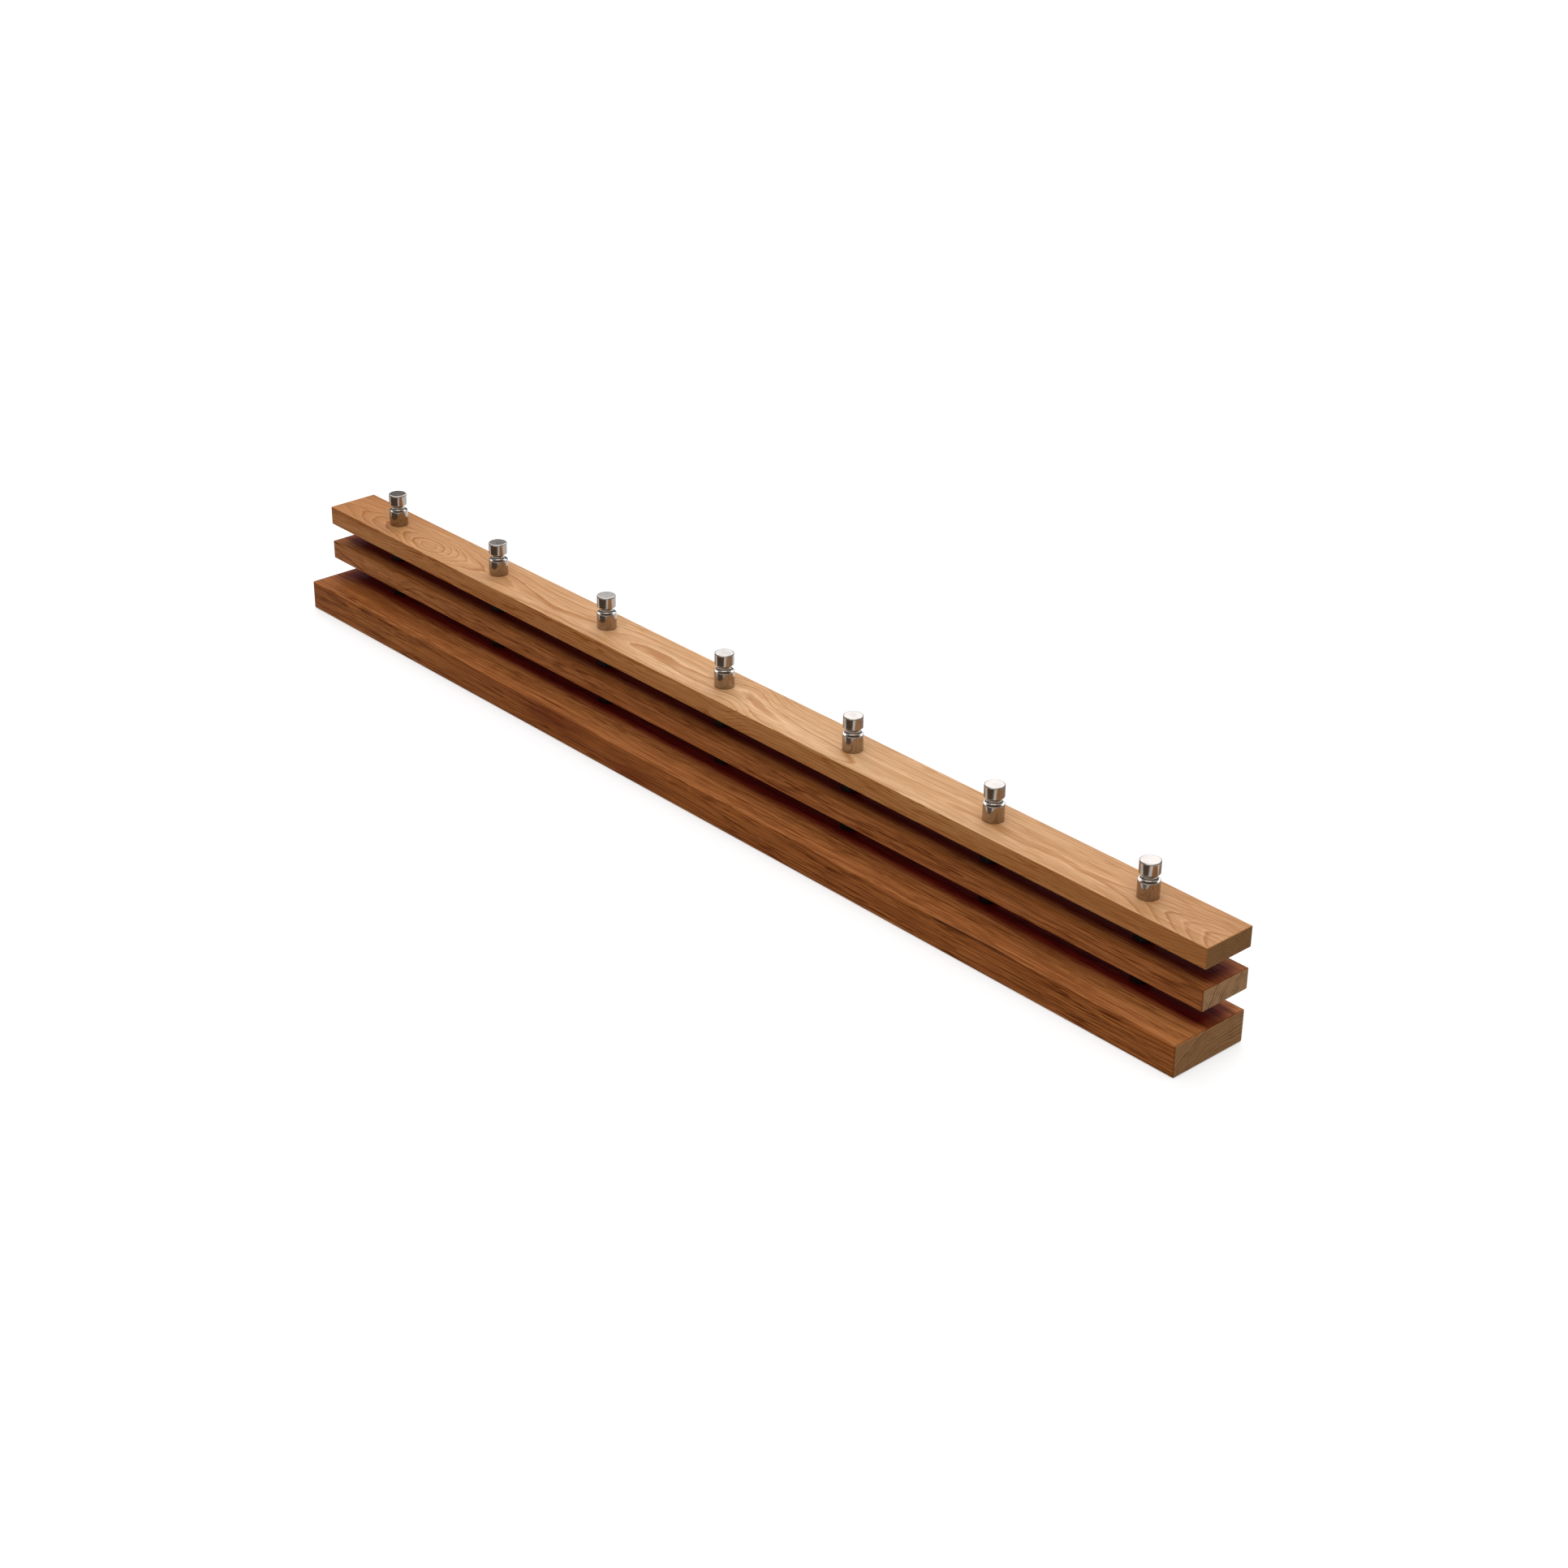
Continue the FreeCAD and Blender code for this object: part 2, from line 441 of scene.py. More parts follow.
# Where in a year's growth the tones lie
SEASON_WARMTH = 0.3
WARMTH_SHARE = 0.75
FRESH_STEP: Range = (0.0, 0.22)
FRESH_GAIN = 1.3
LATE_PEAK = 0.88
LATE_STOP = 1.0
VIGOUR_RANGE: Range = (0.2, 1.0)

# Broad tones, streaks, fibres and open pores
TONE_GRAIN = Grain(170.0, 15.0, 3.0)
TONE_STEP: Range = (0.3, 0.72)
STREAK_DETAIL = 3.0
STREAK_ROUGH = 0.6
STREAK_STEP: Range = (0.5, 0.72)
GLEAM_STEP: Range = (0.3, 0.47)
FIBRE_GRAIN = Grain(30.0, 0.9, 2.0, 0.6)
PORE_RUN_MM = 22.0
PORE_DETAIL = 1.0
PORE_STEP: Range = (0.51, 0.63)
CROWD_GRAIN = Grain(80.0, 9.0, 1.0)
CROWD_STEP: Range = (0.35, 0.65)
CROWD_RANGE: Range = (0.3, 1.0)

# Sides, ends and the dark arris round the sawn ends
UPRIGHT_STEP: Range = (0.3, 0.8)
END_STEP: Range = (0.6, 0.95)
ARRIS_STEP_MM: Range = (-1.6, -0.2)
ARRIS_SHARE = 0.6
# Where the painted gap shade thins out towards the board's ends
GAP_SHADE_END_STEP_MM: Range = (-12.0, -1.0)
GAP_SHADE_END_RANGE: Range = (1.0, 0.5)
SPECK_GRAIN = Grain(5.0, 0.625, 2.0, 0.7)
SPECK_STEP: Range = (0.5, 0.72)
SPECK_SHARE = 0.35
END_PATCH_GRAIN = Grain(10.0, 1 / 0.14)
END_PATCH_STEP: Range = (0.4, 0.75)
END_PATCH_SHARE = 0.25

# Gloss and relief
WOOD_ROUGHNESS: Range = (0.34, 0.5)
PORE_ROUGHNESS = 0.15
FIBRE_RELIEF = 0.5
LATE_RELIEF = 0.3
RELIEF_DEPTH = 0.25 * MM
RELIEF_STRENGTH = 0.18


@dataclass(frozen=True)
class Eye:
    """A soft oval where the growth rings bulge into loops, or sway to one side in an arch."""

    centre_mm: Place
    half_mm: Place
    rise_mm: float
    sway_mm: float = 0.0


@dataclass(frozen=True)
class Patch:
    """A soft oval that tints the colour: dark heartwood, a fine crack, a paler or darker sweep, and in places
    painted sheen or painted shade.
    """

    centre_mm: Place
    half_mm: Place
    tint: Colour


@dataclass(frozen=True)
class GapShade:
    """Painted shade on the part of a board's upper face that lies under the next board: a deep red tint in
    place of the shade in the gap.
    """

    from_y_mm: float
    full_y_mm: float
    fade_y_mm: float
    rear_y_mm: float
    tint: Colour


@dataclass(frozen=True)
class WoodFinish:
    """An oiled hardwood board, figured all through by growth rings about its own pith.

    The rings are circles about a line along X through the pith, bent by slow waves along the grain.
    """

    name: str
    pith_y_mm: float
    pith_z_mm: float
    ring_mm: float
    pale: Colour
    deep: Colour
    line: Colour
    # Painted light and shade: a tint for the upright faces against the top, for how differently they are lit
    painted_side_tint: Colour
    end_pale: Colour
    end_line: Colour
    half_length_mm: float
    seed: Place
    drift_mm: float = 9.0
    wave_mm: float = 3.0
    ripple_mm: float = 0.6
    feather_mm: float = 0.35
    line_start: float = 0.45
    line_share: float = 0.9
    fresh_share: float = 0.15
    streak_share: float = 0.8
    streak_mm: float = 1.0
    streak_run_mm: float = 80.0
    gleam_share: float = 0.65
    dash_share: float = 0.85
    dash_mm: float = 0.75
    side_dash: float = 1.15
    end_share: float = 0.75
    sheen: float = 0.03
    fibre_swing: float = 0.28
    eyes: tuple[Eye, ...] = ()
    patches: tuple[Patch, ...] = ()
    gap_shade: Optional[GapShade] = None

    def rings(self, sheet: NodeSheet, place: Socket) -> Socket:
        """Count the growth rings from the pith out to a place.

        Args:
            sheet: The node tree to work in.
            place: The place in millimetres.

        Returns:
            The output that holds the ring count, with its fraction running through one year's growth.
        """
        _, y, z = sheet.split(place)
        swells = [(eye, sheet.swell(place, eye.centre_mm, eye.half_mm)) for eye in self.eyes]
        beside = sheet.minus(y, self.pith_y_mm)
        for eye, swell in swells:
            beside = sheet.minus(beside, sheet.times(swell, eye.sway_mm))
        across = sheet.squared(beside)
        up = sheet.squared(sheet.minus(z, self.pith_z_mm))
        age = sheet.sum(Operation.ROOT, sheet.plus(across, up))
        bends: tuple[tuple[Grain, float], ...] = (
            (DRIFT_GRAIN, self.drift_mm),
            (WAVE_GRAIN, self.wave_mm),
            (RIPPLE_GRAIN, self.ripple_mm),
            (FEATHER_GRAIN, self.feather_mm),
        )
        for grain, size in bends:
            age = sheet.plus(age, sheet.times(grain.show(sheet, place, self.seed), 2 * size))
        for eye, swell in swells:
            age = sheet.plus(age, sheet.times(swell, eye.rise_mm))
        count = sheet.sum(Operation.DIVIDE, age, self.ring_mm)
        return sheet.plus(count, sheet.line_noise(sheet.times(count, RING_UNEVENNESS)))

    def figure(self, sheet: NodeSheet, place: Socket) -> Socket:
        """Give how strongly the rings show, which is most at the eyes.

        Args:
            sheet: The node tree to work in.
            place: The place in millimetres.

        Returns:
            The output that holds the strength.
        """
        strength = sheet.spread(FIGURE_GRAIN.show(sheet, place, self.seed), *FIGURE_RANGE)
        for eye in self.eyes:
            near = sheet.swell(place, eye.centre_mm, tuple(EYE_REACH * half for half in eye.half_mm))
            strength = sheet.plus(strength, sheet.times(near, EYE_STRENGTH))
        return strength

    def long_grain(
        self, sheet: NodeSheet, place: Socket, season: Socket, late: Socket, dash: Socket, fibre: Socket,
    ) -> Socket:
        """Colour the faces that run along the grain.

        Args:
            sheet: The node tree to work in.
            place: The place in millimetres.
            season: How far through one year's growth a place lies.
            late: How far it lies in a ring's dark late growth.
            dash: How far it lies in one of the short dark dashes of open pores.
            fibre: The fine noise along the grain.

        Returns:
            The output that holds the colour.
        """
        tone = TONE_GRAIN.show(sheet, place, self.seed)
        streaks = Grain(self.streak_run_mm, self.streak_mm, STREAK_DETAIL, STREAK_ROUGH)
        streak = streaks.show(sheet, place, self.seed)
        ageing = sheet.times(sheet.squared(season), SEASON_WARMTH)
        warmth = sheet.plus(ageing, sheet.step(tone, *TONE_STEP))
        colour = sheet.blend(sheet.times(warmth, WARMTH_SHARE), self.pale, self.deep)
        strength = self.figure(sheet, place)
        fresh = sheet.minus(1.0, sheet.step(season, *FRESH_STEP))
        light = tuple(part * FRESH_GAIN for part in self.pale)
        colour = sheet.blend(sheet.times(fresh, sheet.times(strength, self.fresh_share)), colour, light)
        colour = sheet.blend(sheet.times(late, sheet.times(strength, self.line_share)), colour, self.line)
        gleam = sheet.minus(1.0, sheet.step(streak, *GLEAM_STEP))
        colour = sheet.blend(sheet.times(gleam, self.gleam_share), colour, light)
        dark = sheet.step(streak, *STREAK_STEP)
        colour = sheet.blend(sheet.times(dark, self.streak_share), colour, self.line)
        colour = sheet.blend(sheet.times(dash, self.dash_share), colour, self.line)
        shade = sheet.spread(fibre, 1 - self.fibre_swing, 1 + self.fibre_swing)
        colour = sheet.tinted(1.0, colour, sheet.grey(shade))
        # Tints from the patches, some of which are painted sheen or painted shade
        for patch in self.patches:
            colour = sheet.tinted(sheet.swell(place, patch.centre_mm, patch.half_mm), colour, patch.tint)
        return colour

    def late_growth(self, sheet: NodeSheet, count: Socket, season: Socket) -> Socket:
        """Find the dark late growth of the rings, which is stronger in some years than in others.

        Args:
            sheet: The node tree to work in.
            count: The ring count.
            season: How far through one year's growth a place lies.

        Returns:
            The output that holds how far a place lies in late growth.
        """
        vigour = sheet.chance(sheet.sum(Operation.FLOOR, count))
        rise = sheet.step(season, self.line_start, LATE_PEAK)
        late = sheet.times(rise, sheet.minus(1.0, sheet.step(season, LATE_PEAK, LATE_STOP)))
        return sheet.times(late, sheet.spread(vigour, *VIGOUR_RANGE))

    def open_pores(self, sheet: NodeSheet, place: Socket, side: Socket) -> Socket:
        """Find the short dark dashes of open pores, which crowd together in places.

        Args:
            sheet: The node tree to work in.
            place: The place in millimetres.
            side: How far the surface stands upright.

        Returns:
            The output that holds how far a place lies in a dash.
        """
        pores = Grain(PORE_RUN_MM, self.dash_mm, PORE_DETAIL).show(sheet, place, self.seed)
        crowd = CROWD_GRAIN.show(sheet, place, self.seed)
        crowded = sheet.spread(sheet.step(crowd, *CROWD_STEP), *CROWD_RANGE)
        crowded = sheet.times(crowded, sheet.spread(side, 1.0, self.side_dash))
        return sheet.times(sheet.step(pores, *PORE_STEP), crowded)

    def shade_in_gap(self, sheet: NodeSheet, y: Socket, out: Socket, facing_z: Socket) -> Socket:
        """Find where the painted gap shade lies: the part of the upper face under the next board, faded
        towards its rear edge and thinned towards the board's ends.

        Args:
            sheet: The node tree to work in.
            y: The place across the board in millimetres.
            out: How far the place lies past the board's end, in millimetres.
            facing_z: How far the surface faces up.

        Returns:
            The output that holds how much painted gap shade a place gets.
        """
        hidden = sheet.step(y, self.gap_shade.from_y_mm, self.gap_shade.full_y_mm)
        bared = sheet.step(y, self.gap_shade.fade_y_mm, self.gap_shade.rear_y_mm)
        hidden = sheet.times(hidden, sheet.minus(1.0, bared))
        end_fade = sheet.spread(sheet.step(out, *GAP_SHADE_END_STEP_MM), *GAP_SHADE_END_RANGE)
        hidden = sheet.times(hidden, end_fade)
        return sheet.times(hidden, sheet.step(facing_z, *UPRIGHT_STEP))

    def end_grain(self, sheet: NodeSheet, place: Socket, late: Socket) -> Socket:
        """Colour the sawn ends, where the rings show as arcs and the pores as specks.

        Args:
            sheet: The node tree to work in.
            place: The place in millimetres.
            late: How far a place lies in a ring's dark late growth.

        Returns:
            The output that holds the colour.
        """
        speck = sheet.step(SPECK_GRAIN.show(sheet, place, self.seed), *SPECK_STEP)
        patch = sheet.step(END_PATCH_GRAIN.show(sheet, place, self.seed), *END_PATCH_STEP)
        share = sheet.plus(sheet.times(late, self.end_share), sheet.times(speck, SPECK_SHARE))
        share = sheet.plus(share, sheet.times(patch, END_PATCH_SHARE))
        return sheet.blend(share, self.end_pale, self.end_line)

    def build(self) -> bpy.types.Material:
        """Build the finish.

        Returns:
            The material for one board.
        """
        sheet = FinishSheet(self.name)
        place = sheet.place_mm()
        x, y, _ = sheet.split(place)
        facing_x, _, facing_z = sheet.facing()
        count = self.rings(sheet, place)
        season = sheet.sum(Operation.FRACTION, count)
        late = self.late_growth(sheet, count, season)
        side = sheet.minus(1.0, sheet.step(sheet.sum(Operation.ABSOLUTE, facing_z), *UPRIGHT_STEP))
        dash = self.open_pores(sheet, place, side)
        fibre = FIBRE_GRAIN.show(sheet, place, self.seed)
        colour = self.long_grain(sheet, place, season, late, dash, fibre)
        # Painted light and shade: the upright faces are tinted apart from the top, in place of how
        # differently they are lit
        colour = sheet.tinted(side, colour, self.painted_side_tint)
        out = sheet.minus(sheet.sum(Operation.ABSOLUTE, x), self.half_length_mm)
        # Painted shade: a deep red tint on the upper faces inside the gaps, in place of the shade there
        if self.gap_shade is not None:
            colour = sheet.tinted(self.shade_in_gap(sheet, y, out, facing_z), colour, self.gap_shade.tint)
        end = sheet.step(sheet.sum(Operation.ABSOLUTE, facing_x), *END_STEP)
        arris = sheet.times(sheet.step(out, *ARRIS_STEP_MM), sheet.minus(1.0, end))
        colour = sheet.blend(sheet.times(arris, ARRIS_SHARE), colour, self.line)
        colour = sheet.blend(end, colour, self.end_grain(sheet, place, late))
        sheet.feed(sheet.shader.inputs["Base Color"], colour)
        rough = sheet.plus(sheet.spread(fibre, *WOOD_ROUGHNESS), sheet.times(dash, PORE_ROUGHNESS))
        sheet.feed(sheet.shader.inputs["Roughness"], rough)
        sheet.shader.inputs["Specular IOR Level"].default_value = self.sheen
        sunk = sheet.plus(dash, sheet.times(late, LATE_RELIEF))
        relief = sheet.minus(sheet.times(fibre, FIBRE_RELIEF), sunk)
        sheet.bump(relief, RELIEF_DEPTH, RELIEF_STRENGTH)
        return sheet.material


@dataclass(frozen=True)
class SteelFinish:
    """Turned steel with fine rings left by the tool."""

    name: str
    colour: Colour
    smooth: float
    dull: float
    pitch_mm: float
    axis_y_mm: float
    mark_strength: float
    marks_per_mm: float = 9.0
    mark_detail: float = 2.0
    mark_roughness: float = 0.03
    mark_depth: float = 0.02 * MM
    smudges_per_mm: float = 0.16
    smudge_detail: float = 3.0
    smudge_step: Range = (0.3, 0.8)
    smudge_shade: float = 0.86

    def build(self) -> bpy.types.Material:
        """Build the finish.

        Returns:
            The material for every piece of this steel.
        """
        sheet = FinishSheet(self.name)
        place = sheet.place_mm()
        x, y, z = sheet.split(place)
        nearest = sheet.sum(Operation.ROUND, sheet.sum(Operation.DIVIDE, x, self.pitch_mm))
        aside = sheet.minus(x, sheet.times(nearest, self.pitch_mm))
        out = sheet.minus(y, self.axis_y_mm)
        radius = sheet.sum(Operation.ROOT, sheet.plus(sheet.squared(aside), sheet.squared(out)))
        along = sheet.times(sheet.plus(radius, z), self.marks_per_mm)
        marks = sheet.line_noise(along, self.mark_detail)
        smudge = sheet.noise(sheet.mapped(place, (self.smudges_per_mm,) * 3), self.smudge_detail)
        rough = sheet.spread(smudge, self.smooth, self.dull)
        rough = sheet.plus(rough, sheet.times(marks, self.mark_roughness))
        sheet.feed(sheet.shader.inputs["Roughness"], rough)
        dimmed = tuple(part * self.smudge_shade for part in self.colour)
        colour = sheet.blend(sheet.step(smudge, *self.smudge_step), self.colour, dimmed)
        sheet.feed(sheet.shader.inputs["Base Color"], colour)
        sheet.shader.inputs["Metallic"].default_value = 1.0
        sheet.bump(marks, self.mark_depth, self.mark_strength)
        return sheet.material


@dataclass(frozen=True)
class NylonFinish:
    """Matt black turned nylon."""

    name: str
    colour: Colour
    scuff: Colour
    turns_per_mm: float = 5.0
    turn_detail: float = 2.0
    turn_depth: float = 0.06 * MM
    turn_strength: float = 0.4
    scuffs_per_mm: float = 0.3
    scuff_detail: float = 3.0
    scuff_step: Range = (0.45, 0.8)
    roughness: Range = (0.42, 0.62)

    def build(self) -> bpy.types.Material:
        """Build the finish.

        Returns:
            The material for the spacers.
        """
        sheet = FinishSheet(self.name)
        place = sheet.place_mm()
        z = sheet.split(place)[2]
        turning = sheet.line_noise(sheet.times(z, self.turns_per_mm), self.turn_detail)
        patch = sheet.noise(sheet.mapped(place, (self.scuffs_per_mm,) * 3), self.scuff_detail)
        colour = sheet.blend(sheet.step(patch, *self.scuff_step), self.colour, self.scuff)
        sheet.feed(sheet.shader.inputs["Base Color"], colour)
        sheet.feed(sheet.shader.inputs["Roughness"], sheet.spread(patch, *self.roughness))
        sheet.bump(turning, self.turn_depth, self.turn_strength)
        return sheet.material


class TurnedOutline:
    """The outline of a turned piece, drawn in the plane of X and Z and then spun about Z."""

    def __init__(self, radius: float, height: float) -> None:
        """Start the outline.

        Args:
            radius: The first point's distance from the axis.
            height: The first point's height.
        """
        self.mesh = bmesh.new()
        self.first = self.mesh.verts.new((radius, 0.0, height))
        self.last = self.first

    def line(self, radius: float, height: float, hold: float = 0.0) -> "TurnedOutline":
        """Draw a straight stretch.

        Args:
            radius: The end's distance from the axis.
            height: The end's height.
            hold: How close to both ends an extra point keeps the shading flat, or 0 for none.

        Returns:
            The outline, for the next stretch.
        """
        start = self.last.co.copy()
        end = Vector((radius, 0.0, height))
        stops = [end]
        if hold > 0:
            way = (end - start).normalized() * hold
            stops = [start + way, end - way, end]
        for stop in stops:
            made = bmesh.ops.extrude_vert_indiv(self.mesh, verts=[self.last])
            self.last = made["verts"][0]
            self.last.co = stop
        return self

    def arc(self, centre_radius: float, centre_height: float, turn: float, steps: int) -> "TurnedOutline":
        """Draw an arc about a centre.

        Args:
            centre_radius: The centre's distance from the axis.
            centre_height: The centre's height.
            turn: The angle from +X towards +Z, in radians.
            steps: How many chords make the arc.

        Returns:
            The outline, for the next stretch.
        """
        made = bmesh.ops.spin(
            self.mesh, geom=[self.last], cent=(centre_radius, 0.0, centre_height), axis=(0.0, -1.0, 0.0),
            angle=turn, steps=steps, use_merge=False, use_duplicate=False,
        )
        self.last = next(part for part in made["geom_last"] if isinstance(part, bmesh.types.BMVert))
        return self

    def spin(self, steps: int) -> bmesh.types.BMesh:
        """Close the outline and spin it into a solid on the Z axis.

        Args:
            steps: How many stretches make the full turn.

        Returns:
            The turned mesh, with its faces pointing outwards.
        """
        self.mesh.edges.new((self.last, self.first))
        bmesh.ops.spin(
            self.mesh, geom=self.mesh.verts[:] + self.mesh.edges[:], cent=(0, 0, 0), axis=(0, 0, 1),
            angle=2 * math.pi, steps=steps, use_merge=True, use_duplicate=False,
        )
        bmesh.ops.remove_doubles(self.mesh, verts=self.mesh.verts[:], dist=MERGE_GAP)
        bmesh.ops.recalc_face_normals(self.mesh, faces=self.mesh.faces[:])
        return self.mesh


def finished(
    name: str, mesh: bmesh.types.BMesh, material: bpy.types.Material, sharp: float,
) -> bpy.types.Object:
    """Turn a bmesh into an object at the origin.

    Args:
        name: The piece's name.
        mesh: Its mesh, in place, which is freed.
        material: Its finish.
        sharp: The angle, in radians, past which an edge is sharp.

    Returns:
        The piece, linked into the scene.
    """
    data = bpy.data.meshes.new(name)
    for face in mesh.faces:
        face.smooth = True
    mesh.to_mesh(data)
    mesh.free()
    data.set_sharp_from_angle(angle=sharp)
    data.materials.append(material)
    piece = bpy.data.objects.new(name, data)
    bpy.context.scene.collection.objects.link(piece)
    return piece


def dress(node: bpy.types.Object, material: bpy.types.Material) -> None:
    """Give a CAD node a finish.

    Args:
        node: The node's object.
        material: The finish for all its slots.
    """
    if not node.material_slots:
        node.data.materials.append(material)
    for slot in node.material_slots:
        slot.material = material


@dataclass
class SlatStack:
    """The three boards, which keep their CAD shape."""

    nodes: dict[str, bpy.types.Object]
    finishes: dict[Slat, WoodFinish]

    def dress(self) -> None:
        """Give each board its own wood."""
        for slat, finish in self.finishes.items():
            dress(self.nodes[slat.value], finish.build())
            LOG.info("dressed %s", slat.value)


@dataclass
class KnobRow:
    """The turned steel knobs, each spun from one outline."""

    count: int
    finish: SteelFinish
    hole_radius: float = 3.05 * MM
    hole_depth: float = 10.0 * MM
    hole_point: float = 1.83 * MM
    base_radius: float = 7.9 * MM
    base_height: float = 13.1 * MM
    foot_rim: float = 0.5 * MM
    groove_radius: float = 2.6 * MM
    groove_rim: float = 0.5 * MM
    head_radius: float = 7.6 * MM
    head_height: float = 9.5 * MM
    top_rim: float = 1.0 * MM
    hold: float = 0.1 * MM
    foot_steps: int = 5
    rim_steps: int = 6
    groove_steps: int = 24
    top_steps: int = 10
    steps: int = 128

    def outline(self) -> TurnedOutline:
        """Draw half of a knob's section.

        Returns:
            The outline from the threaded hole's mouth round to its drilled point.
        """
        foot = self.base_radius - self.foot_rim
        shoulder = self.base_height - self.groove_rim
        mouth = self.head_radius - self.groove_rim
        head_low = self.base_height + 2 * self.groove_radius
        top = head_low + self.head_height
        shape = TurnedOutline(self.hole_radius, 0.0)
        shape.line(foot, 0.0, self.hold)
        shape.arc(foot, self.foot_rim, QUARTER_TURN, self.foot_steps)
        shape.line(self.base_radius, shoulder, self.hold)
        shape.arc(self.base_radius - self.groove_rim, shoulder, QUARTER_TURN, self.rim_steps)
        shape.line(mouth, self.base_height)
        shape.arc(mouth, self.base_height + self.groove_radius, -2 * QUARTER_TURN, self.groove_steps)
        shape.arc(mouth, head_low + self.groove_rim, QUARTER_TURN, self.rim_steps)
        shape.line(self.head_radius, top - self.top_rim, self.hold)
        shape.arc(self.head_radius - self.top_rim, top - self.top_rim, QUARTER_TURN, self.top_steps)
        shape.line(0.0, top, self.hold)
        shape.line(0.0, self.hole_depth + self.hole_point)
        return shape.line(self.hole_radius, self.hole_depth)

    def build(self) -> None:
        """Spin every knob in the place of its CAD node."""
        material = self.finish.build()
        for number in range(1, self.count + 1):
            node = f"knob_{number}"
            low, high = (Vector(corner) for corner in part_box(node))
            centre = (low + high) / 2
            mesh = self.outline().spin(self.steps)
            bmesh.ops.translate(mesh, vec=(centre.x, centre.y, low.z), verts=mesh.verts[:])
            piece = finished(f"turned_{node}", mesh, material, SHARP_ANGLE)
            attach(piece, BODY)
            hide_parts(node)
            LOG.info("turned %s", piece.name)


@dataclass
class SpacerSet:
    """The round black spacers in both gaps."""

    count: int
    finish: NylonFinish
    bore_radius: float = 3.3 * MM
    bevel: float = 0.4 * MM
    rim_steps: int = 4
    steps: int = 72

    def outline(self, radius: float, height: float) -> TurnedOutline:
        """Draw half of a spacer's section.

        Args:
            radius: The spacer's outer radius.
            height: Its height.

        Returns:
            The outline from the bore's foot round to its top.
        """
        rim = radius - self.bevel
        shape = TurnedOutline(self.bore_radius, 0.0).line(rim, 0.0)
        shape.arc(rim, self.bevel, QUARTER_TURN, self.rim_steps)
        shape.line(radius, height - self.bevel)
        shape.arc(rim, height - self.bevel, QUARTER_TURN, self.rim_steps)
        return shape.line(self.bore_radius, height)

    def build(self) -> None:
        """Spin every spacer in the place of its CAD node."""
        material = self.finish.build()
        for gap in Gap:
            for number in range(1, self.count + 1):
                node = f"{gap.value}_spacer_{number}"
                low, high = (Vector(corner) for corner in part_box(node))
                centre = (low + high) / 2
                mesh = self.outline((high.x - low.x) / 2, high.z - low.z).spin(self.steps)
                bmesh.ops.translate(mesh, vec=(centre.x, centre.y, low.z), verts=mesh.verts[:])
                piece = finished(f"black_{node}", mesh, material, SHARP_ANGLE)
                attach(piece, BODY)
                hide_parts(node)
                LOG.info("turned %s", piece.name)


@dataclass
class HiddenHardware:
    """The bolts, washers, keyhole plates and screws in the back."""

    nodes: dict[str, bpy.types.Object]
    bolt_finish: SteelFinish
    plate_finish: SteelFinish

    def dress(self) -> None:
        """Give the fasteners bright steel and the plates zinc."""
        bright = self.bolt_finish.build()
        zinc = self.plate_finish.build()
        materials = {
            Hardware.BOLT: bright,
            Hardware.WASHER: bright,
            Hardware.PLATE: zinc,
            Hardware.SCREW: bright,
        }
        for name, node in self.nodes.items():
            for kind, material in materials.items():
                if name.startswith(kind.value):
                    dress(node, material)
                    LOG.info("dressed %s", name)


@dataclass
class Lamp:
    """One soft box."""

    name: str
    place: Place
    aim: Place
    width: float
    height: float
    radiance: float
    colour: Colour = (1.0, 1.0, 1.0)

    def hang(self) -> None:
        """Hang the lamp, turned to face what it is aimed at."""
        data = bpy.data.lights.new(self.name, "AREA")
        data.shape = "RECTANGLE"
        data.size = self.width
        data.size_y = self.height
        data.energy = self.radiance * math.pi * self.width * self.height
        data.color = self.colour
        lamp = bpy.data.objects.new(self.name, data)
        lamp.location = self.place
        ahead = Vector(self.aim) - Vector(self.place)
        lamp.rotation_euler = ahead.to_track_quat("-Z", "Y").to_euler()
        bpy.context.scene.collection.objects.link(lamp)


@dataclass
class DarkCard:
    """A dark card on the floor that only the metal mirrors, so that it is modelled by light and dark."""

    name: str
    low: Place
    high: Place
    colour: Colour

    def lay(self) -> None:
        """Lay the card, hidden from the camera and from scattered light."""
        mesh = bmesh.new()
        bmesh.ops.create_grid(mesh, x_segments=1, y_segments=1, size=UNIT_HALF)
        low = Vector(self.low)
        high = Vector(self.high)
        span = high - low
        bmesh.ops.scale(mesh, vec=(span.x, span.y, 1.0), verts=mesh.verts[:])
        bmesh.ops.translate(mesh, vec=(low + high) / 2, verts=mesh.verts[:])
        sheet = FinishSheet(self.name)
        sheet.shader.inputs["Base Color"].default_value = (*self.colour, 1.0)
        sheet.matt()
        card = finished(self.name, mesh, sheet.material, NEVER_SHARP)
        card.visible_camera = False
        card.visible_diffuse = False
        card.visible_shadow = False


